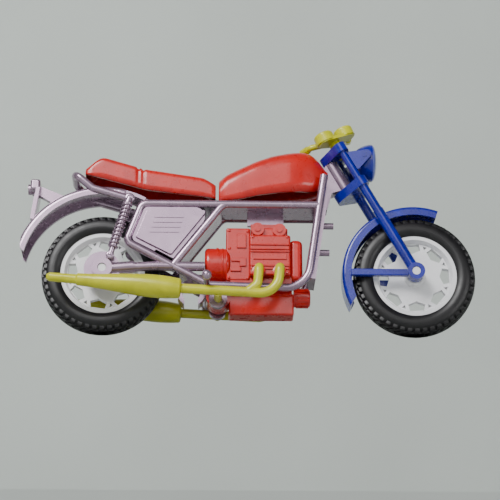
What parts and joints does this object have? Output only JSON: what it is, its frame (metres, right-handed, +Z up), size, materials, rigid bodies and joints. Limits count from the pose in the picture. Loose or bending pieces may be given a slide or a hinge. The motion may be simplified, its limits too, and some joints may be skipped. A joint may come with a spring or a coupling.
{
  "type": "toy motorcycle",
  "caption": "Snap-together toy motorcycle with spinning wheels, a steering fork and a swivelling handlebar, to stand on its wheels or on a stand.",
  "frame": {"origin": "under the middle of the overall box, on the plane the two tyres stand on", "axes": "+X forward towards the front wheel, +Y to the rider's left, +Z up"},
  "size_m": [0.1086, 0.0264, 0.0538],
  "materials": {
    "silver_plastic": "pearly silver-mauve moulded plastic, semi-gloss",
    "blue_plastic": "deep blue moulded plastic, glossy",
    "red_plastic": "orange-red moulded plastic, glossy",
    "lime_plastic": "yellow-lime moulded plastic, glossy",
    "white_plastic": "white moulded plastic, semi-gloss",
    "tyre": "soft black rubber-like plastic, slightly dusty",
    "lens": "smooth pale blue moulded lens, glossy"
  },
  "bodies": {
    "frame": {"frame_half_right": "silver_plastic", "frame_half_left": "silver_plastic", "side_cover_right": "silver_plastic", "side_cover_left": "silver_plastic", "swingarm_right": "silver_plastic", "swingarm_left": "silver_plastic", "shock_absorber_right": "silver_plastic", "shock_absorber_left": "silver_plastic", "rear_mudguard": "silver_plastic", "tail_lamp_bracket": "silver_plastic", "seat": "red_plastic", "tank": "red_plastic", "engine_half_right": "red_plastic", "engine_half_left": "red_plastic", "oil_filter": "red_plastic", "exhaust_right": "lime_plastic", "exhaust_left": "lime_plastic"},
    "fork": {"fork_leg_right": "blue_plastic", "fork_leg_left": "blue_plastic", "upper_yoke": "blue_plastic", "lower_yoke": "blue_plastic", "front_mudguard": "blue_plastic", "headlamp_bowl": "blue_plastic", "headlamp_glass": "lens"},
    "bar": {"handlebar": "lime_plastic"},
    "front_wheel": {"front_rim": "white_plastic", "front_tyre": "tyre"},
    "rear_wheel": {"rear_rim": "white_plastic", "rear_tyre": "tyre"}
  },
  "joints": [
    {"name": "steering", "type": "hinge", "parent": "frame", "child": "fork", "pos_m": [0.02165, 0, 0.04062], "axis": [-0.4848, 0, 0.8746], "range_deg": [-28, 28]},
    {"name": "bar_swivel", "type": "hinge", "parent": "fork", "child": "bar", "pos_m": [0.02206, 0, 0.04731], "axis": [-0.4067, 0, 0.9135], "range_deg": [-18, 162]},
    {"name": "front_spin", "type": "hinge", "parent": "fork", "child": "front_wheel", "pos_m": [0.03968, 0, 0.0146], "axis": [0, 1, 0], "continuous": true},
    {"name": "rear_spin", "type": "hinge", "parent": "frame", "child": "rear_wheel", "pos_m": [-0.03467, 0, 0.0146], "axis": [0, 1, 0], "continuous": true}
  ]
}
